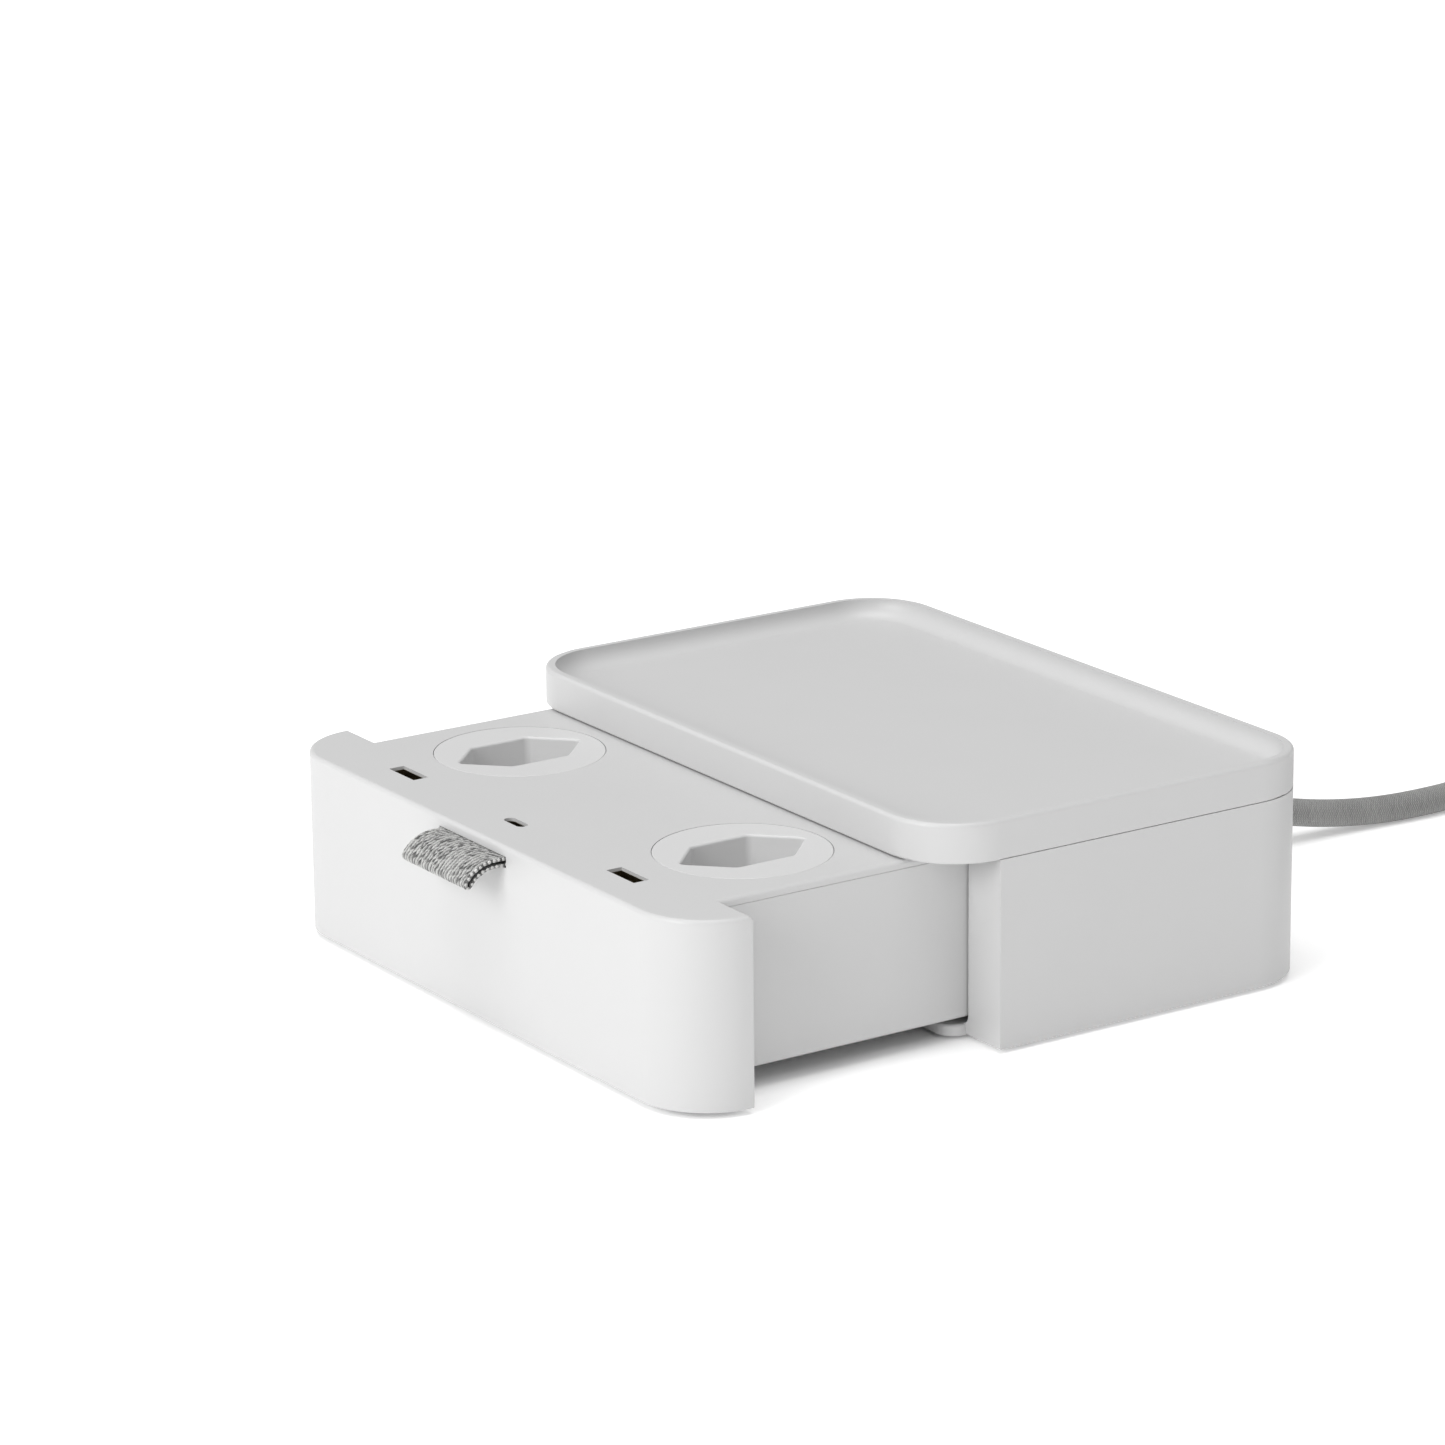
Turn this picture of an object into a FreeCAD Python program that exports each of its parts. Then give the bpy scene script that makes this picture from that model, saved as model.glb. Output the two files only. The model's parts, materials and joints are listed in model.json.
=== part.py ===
import FreeCAD, Part
import math
import os

# Desk power box: a fixed U-shaped housing under a shallow organiser tray, and a drawer with two mains
# sockets, two USB-A ports and one USB-C port that slides out of it.  Millimetres, +Z up, drawer fully open.
# Working frame: x = 0 on the centre plane, y = 0 at the tray's front edge, z = 0 on the desk.
# save() moves every piece back so that the row's origin is under the middle of the object without its cord.

os.makedirs("parts", exist_ok=True)

# ---- driving dimensions ----
width = 200.0
depth = 126.5
corner_r = 20.0
foot_proud = 1.0              # the feet lift the housing off the desk
tray_bottom = 52.5
tray_top = 63.3
tray_floor = 58.1
rim = 2.7
wall_front = 20.6             # the side walls start this far behind the tray's front edge
wall = 14.0                   # hollow side walls
back_wall = 6.0
base_top = 4.0
tongue_front = 15.0           # the base plate shows ahead of the side walls
travel = 76.05
drawer_top = 52.2
drawer_bottom = 5.8
front_bottom = 1.7
skin = 2.5
cover_t = 2.0
cover_edge_r = 1.2
seam_groove = 0.25            # the fine line between the cover and the lower shell
box_half = 85.3
arm_back = 40.0               # the drawer's two side arms, which stay in the housing
recess_back = 27.0            # back wall between the arms, ahead of the cable's loop
arm_inner = 70.0
socket_x, socket_y = 54.4, -28.0
socket_r = 23.4
recess_half_w, recess_half_edge, recess_depth = 11.0, 8.9, 10.0
usb_y, usb_a_x = -63.0, 54.4
usb_a_half_w, usb_a_half_t = 6.45, 2.3
usb_c_w, usb_c_t = 8.9, 3.2
cord_d = 8.0
cord_exit_z = 16.0
neck_r, collar_r = 4.6, 6.5   # where the lead passes a wall, and the collar inside it
inner_lead_r, inner_lead_z = 3.7, 22.5
screw_r = 1.5
foot_r, foot_sunk = 6.0, 0.8
foot_x, foot_ys = 72.0, (23.0, 112.0)
tab_w, tab_t = 32.4, 2.8
tab_root = 47.95              # the webbing's middle where it leaves the front
tab_out, tab_bend_r, tab_turn = 2.8, 11.25, math.radians(55)

inner_half = width / 2 - wall
front_y = -travel
tab_front = front_y - tab_out - (tab_bend_r - tab_t / 2) * math.sin(tab_turn) - tab_t / 2
origin_y = (tab_front + depth) / 2


def save(name, shape):
    """Writes one node, moved into the row's frame."""
    shape = shape.copy()
    shape.translate(FreeCAD.Vector(0, -origin_y, 0))
    shape.exportStep(f"parts/{name}.step")


def box(x0, x1, y0, y1, z0, z1):
    return Part.makeBox(x1 - x0, y1 - y0, z1 - z0, FreeCAD.Vector(x0, y0, z0))


def rod(x, y, z0, z1, r):
    return Part.makeCylinder(r, z1 - z0, FreeCAD.Vector(x, y, z0))


def rod_y(x, z, y0, y1, r):
    return Part.makeCylinder(r, y1 - y0, FreeCAD.Vector(x, y0, z), FreeCAD.Vector(0, 1, 0))


def outline(points):
    """A closed wire in the XY plane through (x, y, corner radius) points."""
    ends, edges = [], []
    count = len(points)
    for i in range(count):
        x, y, r = points[i]
        here = FreeCAD.Vector(x, y, 0)
        before = FreeCAD.Vector(*points[i - 1][:2], 0) - here
        after = FreeCAD.Vector(*points[(i + 1) % count][:2], 0) - here
        before.normalize()
        after.normalize()
        if r == 0:
            ends.append((here, here))
            continue
        half = before.getAngle(after) / 2
        bisector = before + after
        bisector.normalize()
        middle = here + bisector * (r / math.sin(half) - r)
        start, end = here + before * (r / math.tan(half)), here + after * (r / math.tan(half))
        edges.append(Part.Arc(start, middle, end).toShape())
        ends.append((start, end))
    for i in range(count):
        a, b = ends[i][1], ends[(i + 1) % count][0]
        if a.distanceToPoint(b) > 1e-6:
            edges.append(Part.LineSegment(a, b).toShape())
    return Part.Wire(Part.__sortEdges__(edges))


def plate(points, z0, z1):
    solid = Part.Face(outline(points)).extrude(FreeCAD.Vector(0, 0, z1 - z0))
    solid.translate(FreeCAD.Vector(0, 0, z0))
    return solid


def rounded(x, y0, y1, r_front, r_back, z0, z1):
    """A plate as wide as 2 x, with its own corner radii at the front and at the back."""
    return plate([(-x, y0, r_front), (x, y0, r_front), (x, y1, r_back), (-x, y1, r_back)], z0, z1)


def level_edges(shape, z):
    return [e for e in shape.Edges if abs(e.BoundBox.ZMin - z) < 1e-6 and abs(e.BoundBox.ZMax - z) < 1e-6]


def mirrored(shape):
    return shape.mirror(FreeCAD.Vector(0, 0, 0), FreeCAD.Vector(1, 0, 0))


def both_sides(shape):
    return Part.makeCompound([shape, mirrored(shape)])


# ---- housing ----
screw_x, screw_ys = 94.0, (30.0, 112.0)
screw_seat_z, screw_tip_z = 44.0, 56.5
head_r, head_h = 2.75, 2.5
groove_z0, groove_z1 = 27.5, 36.5
groove_depth = 4.0
groove_y0, groove_y1 = 24.0, 116.0
pocket = (92.0, 97.0, 38.0, 104.0)      # x and y of the hollow in each side wall
tongue_r, small_edge_r = 5.5, 0.8


def make_housing():
    outer = rounded(width / 2, wall_front, depth, 0, corner_r, foot_proud, tray_bottom)
    outer = outer.makeFillet(small_edge_r, level_edges(outer, foot_proud))
    cavity = box(-inner_half, inner_half, wall_front - 1, depth - back_wall, base_top, tray_bottom)
    low = [e for e in level_edges(cavity, base_top) if abs(e.BoundBox.XMax - e.BoundBox.XMin) < 1e-6]
    cavity = cavity.makeFillet(2.5, low)
    tongue = rounded(inner_half - 1.2, tongue_front, wall_front + 5, tongue_r, 0, foot_proud, base_top)
    front_top = [e for e in level_edges(tongue, base_top) if e.BoundBox.YMin < wall_front]
    tongue = tongue.makeFillet(small_edge_r, front_top)
    groove_x0, groove_x1 = inner_half - 1, inner_half + groove_depth
    tools = [both_sides(box(*pocket, base_top, tray_bottom)),
             both_sides(box(groove_x0, groove_x1, groove_y0, groove_y1, groove_z0, groove_z1))]
    for y in screw_ys:
        tools.append(both_sides(rod(screw_x, y, foot_proud, tray_bottom, screw_r)))
        tools.append(both_sides(rod(screw_x, y, foot_proud, screw_seat_z, head_r + 0.25)))
    for x, y in feet_at():
        tools.append(rod(x, y, foot_proud, foot_proud + foot_sunk, foot_r + 0.2))
    tools.append(rod_y(0, cord_exit_z, depth - back_wall - 1, depth + 1, neck_r))
    return outer.cut(cavity).fuse(tongue).cut(tools).removeSplitter()


def feet_at():
    return [(side * foot_x, y) for side in (-1, 1) for y in foot_ys]


def make_feet():
    return Part.makeCompound([rod(x, y, 0, foot_proud + foot_sunk, foot_r) for x, y in feet_at()])


def make_tray():
    body = rounded(width / 2, 0, depth, corner_r, corner_r, tray_bottom, tray_top)
    body = body.makeFillet(1.1, level_edges(body, tray_top))
    body = body.makeFillet(0.6, level_edges(body, tray_bottom))
    r = corner_r - rim
    hollow = rounded(width / 2 - rim, rim, depth - rim, r, r, tray_floor, tray_top)
    hollow = hollow.makeFillet(tray_top - tray_floor - 0.2, level_edges(hollow, tray_floor))
    body = body.cut(hollow)
    holes = [both_sides(rod(screw_x, y, tray_bottom, screw_tip_z + 0.1, screw_r)) for y in screw_ys]
    return body.cut(holes)


def make_tray_screws():
    screws = []
    for y in screw_ys:
        head = rod(screw_x, y, screw_seat_z - head_h, screw_seat_z, head_r)
        screw = head.fuse(rod(screw_x, y, screw_seat_z, screw_tip_z, screw_r))
        socket = rod(screw_x, y, screw_seat_z - head_h, screw_seat_z - 1.0, 1.25)
        screws.append(both_sides(screw.cut(socket)))
    return Part.makeCompound(screws)


def make_glide_strip(side):
    top = drawer_bottom - 0.2
    strip = box(55, 65, 19, 118, base_top, top)
    strip = strip.makeFillet(0.6, level_edges(strip, top))
    return strip if side > 0 else mirrored(strip)


# ---- mains lead on the housing ----
gland_end = depth + 26.0
route = [(0.0, gland_end, 16.0), (0.3, 172.0, 14.0), (1.2, 191.0, 9.6), (2.2, 209.0, 5.8), (3.6, 227.0, 4.0),
         (5.0, 244.0, 4.0), (3.6, 262.0, 4.0), (4.2, 285.0, 4.0)]
coil_r = 47.2                 # middle of three columns of turns, in two layers
coil_at = (route[-1][0] + coil_r + cord_d, 300.0)
coil_height = 2 * cord_d + 0.6
coil_half = 1.5 * cord_d + 0.4
plug_boot_y = 263.0
plug_x = coil_at[0] + coil_r + cord_d
plug_z = 9.0                  # half the plug's thickness: it lies flat
plug_half_w, plug_length = 18.0, 35.0
plug_nose_y = 210.0
pin_r, pin_length, pin_sunk = 2.0, 19.0, 8.0


def make_gland():
    """Moulded strain relief: a collar inside, a flange outside, and a tapered boot."""
    inner_face, flange_back = depth - back_wall, depth + 2.5
    inside = rod_y(0, cord_exit_z, inner_face - 3, depth, neck_r)
    collar = rod_y(0, cord_exit_z, inner_face - 3, inner_face, collar_r)
    flange = rod_y(0, cord_exit_z, depth, flange_back, 8.0)
    boot = Part.makeCone(6.6, cord_d / 2 + 0.6, gland_end - flange_back,
                         FreeCAD.Vector(0, flange_back, cord_exit_z), FreeCAD.Vector(0, 1, 0))
    return inside.fuse([collar, flange, boot]).removeSplitter()


def tube(points, r):
    """A tube along straight runs joined by tangent arcs, each as large as its two runs allow."""
    points = [FreeCAD.Vector(*p) for p in points]
    edges, here, radii = [], points[0], []
    for a, b, c in zip(points, points[1:], points[2:]):
        into, out = (a - b), (c - b)
        short = min(into.Length, out.Length)
        into.normalize()
        out.normalize()
        half = into.getAngle(out) / 2
        reach = 0.45 * short
        radius = reach * math.tan(half)
        start, end = b + into * reach, b + out * reach
        bisector = into + out
        bisector.normalize()
        middle = b + bisector * (radius / math.sin(half) - radius)
        edges.append(Part.LineSegment(here, start).toShape())
        edges.append(Part.Arc(start, middle, end).toShape())
        here = end
        radii.append(round(radius, 1))
    edges.append(Part.LineSegment(here, points[-1]).toShape())
    path = Part.Wire(edges)
    ring = Part.makeCircle(r, points[0], points[1] - points[0])
    solid = path.makePipeShell([Part.Wire([ring])], True, True)
    print("tube radii", radii, "length", round(path.Length, 1),
          "volume over section times length", round(solid.Volume / (math.pi * r * r * path.Length), 4))
    return solid


def make_coil():
    x, y = coil_at
    outer = rod(x, y, 0, coil_height, coil_r + coil_half)
    outer = outer.makeFillet(3.0, [e for e in outer.Edges if e.Length > 100])
    inner = rod(x, y, -1, coil_height + 1, coil_r - coil_half)
    return outer.cut(inner)


def make_tail(coil):
    return rod_y(plug_x, plug_z, plug_boot_y, coil_at[1] - 10, cord_d / 2).cut(coil)


def make_plug():
    """Flat six-sided plug body with a tapered boot, lying on the desk."""
    nose, back, top = plug_nose_y, plug_nose_y + plug_length, 2 * plug_z
    shoulder, neck = back - 14, plug_half_w / 2
    left, right = plug_x - plug_half_w, plug_x + plug_half_w
    body = plate([(left, nose, 2), (right, nose, 2), (right, shoulder, 4), (plug_x + neck, back, 4),
                  (plug_x - neck, back, 4), (left, shoulder, 4)], 0, top)
    body = body.makeFillet(2.5, level_edges(body, 0) + level_edges(body, top))
    boot = Part.makeCone(6.5, cord_d / 2 + 0.5, plug_boot_y - back + 1,
                         FreeCAD.Vector(plug_x, back - 1, plug_z), FreeCAD.Vector(0, 1, 0))
    holes = [rod_y(x, z, nose - 1, nose + pin_sunk, pin_r) for x, z in pins_at()]
    return body.fuse(boot).cut(holes)


def pins_at():
    return [(plug_x - 9.5, plug_z - 1.5), (plug_x + 9.5, plug_z - 1.5), (plug_x, plug_z + 3.5)]


def make_plug_pins():
    tip_y = plug_nose_y - pin_length
    pins = []
    for x, z in pins_at():
        pin = rod_y(x, z, tip_y, plug_nose_y + pin_sunk, pin_r)
        tip = [e for e in pin.Edges if e.BoundBox.YMax < tip_y + 0.1]
        pins.append(pin.makeFillet(0.9, tip))
    return Part.makeCompound(pins)


clamp_y, clamp_half_y, clamp_top = 112.0, 3.5, 22.5
clamp_screw_xs = (-9.5, 9.5)


def make_cord_clamp():
    """Saddle over the lead on the base plate, just inside the back wall."""
    y0, y1 = clamp_y - clamp_half_y, clamp_y + clamp_half_y
    saddle = box(-14, 14, y0, y1, base_top, clamp_top)
    saddle = saddle.makeFillet(2.0, [e for e in level_edges(saddle, clamp_top) if e.BoundBox.XLength < 1e-6])
    tools = [rod_y(0, cord_exit_z, y0 - 1, y1 + 1, inner_lead_r + 0.1)]
    tools += [rod(x, clamp_y, 8.0, clamp_top + 1, screw_r) for x in clamp_screw_xs]
    return saddle.cut(tools)


def make_clamp_screws():
    screws = []
    for x in clamp_screw_xs:
        head = rod(x, clamp_y, clamp_top, clamp_top + 1.8, 2.7)
        screws.append(head.fuse(rod(x, clamp_y, 9.0, clamp_top, screw_r)))
    return Part.makeCompound(screws)


def make_service_loop():
    """The lead's inner end, from the gland through the clamp to the open drawer's back wall."""
    loop = [(0.0, depth - back_wall - 3, cord_exit_z), (0.0, 103.0, 16.0), (5.0, 89.0, 17.5),
            (10.0, 75.0, 19.5), (4.0, 60.0, 21.5), (-3.0, 46.0, inner_lead_z),
            (0.0, recess_back + 2.0, inner_lead_z)]
    return tube(loop, inner_lead_r)


# ---- drawer ----
def front_outline(inset, y_back):
    """The drawer's plan: a rounded front as wide as the tray, two returns, and the box behind it."""
    x, r, back = width / 2 - inset, corner_r - inset, front_y + wall_front - inset
    side = box_half - inset
    return [(-x, front_y + inset, r), (x, front_y + inset, r), (x, back, 0), (side, back, 0),
            (side, y_back, 0), (-side, y_back, 0), (-side, back, 0), (-x, back, 0)]


boss_r, boss_screw_top = 3.5, 20.0
boss_head_r, boss_head_h = 2.8, 1.2


def boss_at():
    return [(side * x, y) for side in (-1, 1) for x, y in ((78.0, -48.0), (78.0, 30.0), (24.0, 19.5))]


def make_cover():
    """Top plate with the drawer's front skin and returns, in one moulding, and six screw bosses."""
    seam, back, side = drawer_top - cover_t, front_y + wall_front, width / 2 - 3
    body = plate(front_outline(0, arm_back), front_bottom, drawer_top)
    top_edges = [e for e in level_edges(body, drawer_top) if e.BoundBox.YMin < arm_back - 1]
    body = body.makeFillet(cover_edge_r, top_edges)
    under_box = box(-box_half, box_half, front_y + 3, arm_back + 1, front_bottom - 1, seam)
    in_returns = plate([(-side, front_y + 3, 14), (side, front_y + 3, 14), (side, back - skin, 0),
                        (-side, back - skin, 0)], front_bottom - 1, seam)
    body = body.cut(under_box).cut(in_returns)
    arm_gap = box(-arm_inner, arm_inner, recess_back, arm_back + 1, seam - 1, drawer_top + 1)
    slot_half_w, slot_half_t = tab_w / 2 + 0.4, tab_t / 2 + 0.15
    tab_slot = box(-slot_half_w, slot_half_w, front_y - 1, front_y + 4,
                   tab_root - slot_half_t, tab_root + slot_half_t)
    tools = [arm_gap, tab_slot, usb_c_void(usb_c_w, usb_c_t + 0.1, seam - 1, drawer_top + 1)]
    for side_x in (-socket_x, socket_x):
        tools.append(rod(side_x, socket_y, seam - 1, drawer_top + 1, socket_r + 0.15))
    for side_x in (-usb_a_x, usb_a_x):
        tools.append(usb_a_void(side_x, seam - 1))
    bosses = [rod(x, y, drawer_bottom + skin, seam, boss_r) for x, y in boss_at()]
    body = body.cut(tools).fuse(bosses).removeSplitter()
    return body.cut([rod(x, y, drawer_bottom, boss_screw_top + 2, screw_r) for x, y in boss_at()])


def usb_a_void(x, low):
    w, t = usb_a_half_w, usb_a_half_t
    return box(x - w, x + w, usb_y - t, usb_y + t, low, drawer_top + 1)


def usb_c_void(long, short, z0, z1):
    """A round-ended block at the middle port."""
    a, b, r, y = long / 2, short / 2, short / 2 - 0.01, usb_y + 0.3
    return plate([(-a, y - b, r), (a, y - b, r), (a, y + b, r), (-a, y + b, r)], z0, z1)


def side_edges(shape, z):
    """The lower shell's two long edges at one height."""
    level = [e for e in level_edges(shape, z) if e.BoundBox.XLength < 1e-6]
    return [e for e in level if abs(e.BoundBox.XMax) > box_half - 1]


def make_lower_shell():
    """Open-topped box under the cover, with two arms behind it that stay in the housing."""
    seam, y0, y1 = drawer_top - cover_t, front_y + 3, arm_back
    s, a, back = box_half, arm_inner, recess_back
    outer = plate([(-s, y0, 0), (s, y0, 0), (s, y1, 0), (a, y1, 0), (a, back, 0), (-a, back, 0),
                   (-a, y1, 0), (-s, y1, 0)], drawer_bottom, seam)
    outer = outer.makeFillet(1.5, side_edges(outer, drawer_bottom))
    outer = outer.makeChamfer(seam_groove, side_edges(outer, seam))
    t = skin
    hollow = plate([(-s + t, y0 + t, 1), (s - t, y0 + t, 1), (s - t, y1 - t, 1), (a + t, y1 - t, 1),
                    (a + t, back - t, 0.5), (-a - t, back - t, 0.5), (-a - t, y1 - t, 1),
                    (-s + t, y1 - t, 1)], drawer_bottom + t, seam)
    tools = [hollow, rod_y(0, inner_lead_z, back - t - 1, back + 1, neck_r),
             box(-17, 17, y0 - 1, y0 + t + 1, tab_root - 2.5, tab_root + 2.5)]
    for x, y in boss_at():
        tools.append(rod(x, y, drawer_bottom, drawer_bottom + boss_head_h, boss_head_r + 0.2))
        tools.append(rod(x, y, drawer_bottom, drawer_bottom + t, screw_r + 0.1))
    return outer.cut(tools)


def make_cover_screws():
    shoulder = drawer_bottom + boss_head_h
    screws = []
    for x, y in boss_at():
        head = rod(x, y, drawer_bottom, shoulder, boss_head_r)
        screws.append(head.fuse(rod(x, y, shoulder, boss_screw_top, screw_r)))
    return Part.makeCompound(screws)


def make_glide(side):
    """Low-friction block on the side arm; it runs in the wall's groove, whose end stops it."""
    block = box(box_half, inner_half + groove_depth - 0.8, groove_y0 + 0.5, arm_back - 1,
                groove_z0 + 0.5, groove_z1 - 0.5)
    outer = [e for e in block.Edges if e.BoundBox.XMin > box_half + 1 and e.BoundBox.XLength < 1e-6]
    block = block.makeFillet(0.7, outer)
    return block if side > 0 else mirrored(block)


pin_pitch, earth_offset = 9.5, 5.0
contacts = {"line": (0, -pin_pitch), "earth": (earth_offset, 0), "neutral": (0, pin_pitch)}
cup_t = 2.0                   # wall of the six-sided cup under the insert
well_floor = drawer_top - recess_depth
cup_under = well_floor - 3.0


def hexagon(grow, side_r=0, tip_r=0):
    """The plug's outline, grown on every side; its slanting sides stand at 45 degrees."""
    w, e = recess_half_w + grow, recess_half_edge + grow * math.tan(math.radians(22.5))
    tip = e + w
    return [(w, -e, side_r), (w, e, side_r), (0, tip, tip_r), (-w, e, side_r), (-w, -e, side_r),
            (0, -tip, tip_r)]


def make_socket(side):
    """Round insert with a six-sided well, three pin holes in its floor, and a rounded mouth."""
    disc = rod(0, 0, drawer_top - cover_t, drawer_top, socket_r)
    disc = disc.makeFillet(0.25, level_edges(disc, drawer_top))
    cup = plate(hexagon(cup_t), cup_under, drawer_top - cover_t)
    well = plate(hexagon(-0.4, 2.6, 1.4), well_floor, drawer_top + 1)
    body = disc.fuse(cup).cut(well)
    mouth = [e for e in level_edges(body, drawer_top) if e.BoundBox.YLength < 40 and e.Length < 40]
    body = body.makeFillet(0.7, mouth)
    body = body.cut([rod(x, y, cup_under - 1, well_floor + 1, 2.2) for x, y in contacts.values()])
    body.translate(FreeCAD.Vector(side * socket_x, socket_y, 0))
    return body


def make_busbar(pole):
    """Brass strip with a spring cup under each socket."""
    dx, dy = contacts[pole]
    y, low, half_w = socket_y + dy, cup_under - 12.0, 1.8
    strip = box(dx - socket_x, dx + socket_x, y - half_w, y + half_w, low, low + 1.0)
    cups = [rod(dx + x, y, low, cup_under, 3.2) for x in (-socket_x, socket_x)]
    cores = [rod(dx + x, y, low + 1.5, cup_under + 1, 2.1) for x in (-socket_x, socket_x)]
    return strip.fuse(cups).removeSplitter().cut(cores)


# ---- USB board ----
board_z, board_t = 34.5, 1.6
board_top = board_z + board_t
shell_t = 0.4
post_x, post_y = 62.0, usb_y + 9.0


def make_usb_a_shell(x):
    w, t = usb_a_half_w + shell_t, usb_a_half_t + shell_t
    shell = box(x - w, x + w, usb_y - t, usb_y + t, board_top, drawer_top - cover_t)
    return shell.cut(usb_a_void(x, board_top + shell_t))


def make_usb_a_tongue(x):
    low = board_top + shell_t
    shoulder = low + 4.0
    foot = box(x - 6.4, x + 6.4, usb_y - 2.25, usb_y + 2.25, low, shoulder)
    tongue = box(x - 5.6, x + 5.6, usb_y + 0.15, usb_y + 1.95, shoulder, drawer_top - 3.6)
    return foot.fuse(tongue).removeSplitter()


def make_usb_a_contacts():
    low, top, pitch = board_z + 6.0, drawer_top - 4.2, 2.3
    strips = []
    for side in (-1, 1):
        for i in range(4):
            x = side * usb_a_x + (i - 1.5) * pitch
            strips.append(box(x - 0.5, x + 0.5, usb_y - 0.1, usb_y + 0.15, low, top))
    return Part.makeCompound(strips)


def make_usb_c_shell():
    top = drawer_top - cover_t
    shell = usb_c_void(usb_c_w + 0.7, usb_c_t + 0.7, board_top, top)
    return shell.cut(usb_c_void(usb_c_w, usb_c_t, board_top + shell_t, top + 1))


def make_usb_c_tongue():
    low = board_top + shell_t
    shoulder = low + 4.0
    foot = usb_c_void(usb_c_w - 0.2, usb_c_t - 0.2, low, shoulder)
    tongue = box(-3.35, 3.35, usb_y - 0.05, usb_y + 0.65, shoulder, drawer_top - 4.0)
    return foot.fuse(tongue).removeSplitter()


def make_power_board():
    board = box(-66, 66, usb_y - 7.5, usb_y + 12.5, board_z, board_top)
    holes = [rod(x, post_y, board_z - 1, board_top + 1, screw_r + 0.1) for x in (-post_x, post_x)]
    return board.cut(holes)


def make_board_components():
    """Transformer, inductor, chips and two capacitors under the board."""
    y, top = usb_y, board_z
    transformer = box(-12, 12, y - 5, y + 11, top - 16, top)
    inductor = box(22, 32, y - 4, y + 6, top - 8, top)
    chips = [box(x, x + 7, y - 3, y + 3, top - 2, top) for x in (-47, 40)]
    capacitors = [rod(-24, y + 2, top - 15, top, 5.0), rod(-34.5, y + 2, top - 12, top, 4.0)]
    return Part.makeCompound([transformer, inductor] + chips + capacitors)


def make_board_posts():
    posts = []
    for x in (-post_x, post_x):
        post = rod(x, post_y, drawer_bottom + skin, board_z, 3.0)
        posts.append(post.fuse(rod(x, post_y, board_z, board_z + 3.0, screw_r)))
    return Part.makeCompound(posts)


def make_terminal_block():
    z0, ways = drawer_bottom + skin, (-10, 0, 10)
    block = box(-16, 16, 4, 18, z0, z0 + 16)
    bores = [rod_y(x, z0 + 5, 3, 19, 2.0) for x in ways]
    wells = [rod(x, 11, z0 + 8, z0 + 17, 1.8) for x in ways]
    return block.cut(bores + wells)


def make_drawer_grommet():
    """Grips the lead's inner end in the drawer's back wall."""
    back = recess_back
    body = rod_y(0, inner_lead_z, back - skin - 2, back, neck_r)
    lip = rod_y(0, inner_lead_z, back, back + 2.0, collar_r)
    nut = rod_y(0, inner_lead_z, back - skin - 4, back - skin, collar_r)
    return body.fuse([lip, nut]).removeSplitter()


# ---- pull tab ----
clamp_front = front_y + 3 + skin
clamp_depth = 5.0


def make_tab():
    """Folded webbing: comes straight out of the front, then bends down to a rounded fold."""
    y0 = clamp_front + clamp_depth
    top, low = tab_root + tab_t / 2, tab_root - tab_t / 2
    bend = FreeCAD.Vector(0, front_y - tab_out, 0)
    radius, turn = tab_bend_r, tab_turn
    centre_z = top - radius

    def on_arc(r, angle):
        return FreeCAD.Vector(0, bend.y - r * math.sin(angle), centre_z + r * math.cos(angle))

    inner = radius - tab_t
    a0, a1 = FreeCAD.Vector(0, y0, top), on_arc(radius, 0)
    b0, b1 = FreeCAD.Vector(0, y0, low), on_arc(inner, 0)
    tip = on_arc(radius - tab_t / 2, turn)
    along = FreeCAD.Vector(0, -math.cos(turn), -math.sin(turn)) * (tab_t / 2)
    curves = [Part.LineSegment(a0, a1), Part.Arc(a1, on_arc(radius, turn / 2), on_arc(radius, turn)),
              Part.Arc(on_arc(radius, turn), tip + along, on_arc(inner, turn)),
              Part.Arc(on_arc(inner, turn), on_arc(inner, turn / 2), b1),
              Part.LineSegment(b1, b0), Part.LineSegment(b0, a0)]
    profile = Part.Face(Part.Wire([curve.toShape() for curve in curves]))
    solid = profile.extrude(FreeCAD.Vector(tab_w, 0, 0))
    solid.translate(FreeCAD.Vector(-tab_w / 2, 0, 0))
    return solid


def make_tab_clamp():
    """Frame inside the front that pinches the webbing's tail."""
    y0, y1, half = clamp_front, clamp_front + clamp_depth, tab_t / 2
    frame = box(-20, 20, y0, y1, tab_root - half - 3.5, drawer_top - cover_t)
    return frame.cut(box(-tab_w / 2, tab_w / 2, y0 - 1, y1 + 1, tab_root - half, tab_root + half))


coil = make_coil()
gland = make_gland()
grommet = make_drawer_grommet()
save("housing_shell", make_housing())
save("organiser_tray", make_tray())
save("tray_screws", make_tray_screws())
save("rubber_feet", make_feet())
for side, word in ((-1, "left"), (1, "right")):
    save(f"glide_strip_{word}", make_glide_strip(side))
    save(f"drawer_glide_{word}", make_glide(side))
    save(f"socket_insert_{word}", make_socket(side))
    save(f"usb_a_shell_{word}", make_usb_a_shell(side * usb_a_x))
    save(f"usb_a_tongue_{word}", make_usb_a_tongue(side * usb_a_x))
save("strain_relief", gland)
save("cord_clamp", make_cord_clamp())
save("clamp_screws", make_clamp_screws())
save("mains_cord", tube(route, cord_d / 2).cut([coil, gland]))
save("cord_coil", coil)
save("cord_tail", make_tail(coil))
save("plug_body", make_plug())
save("plug_pins", make_plug_pins())
save("service_loop", make_service_loop().cut(grommet))
save("drawer_cover", make_cover())
save("drawer_lower_shell", make_lower_shell())
save("cover_screws", make_cover_screws())
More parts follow.
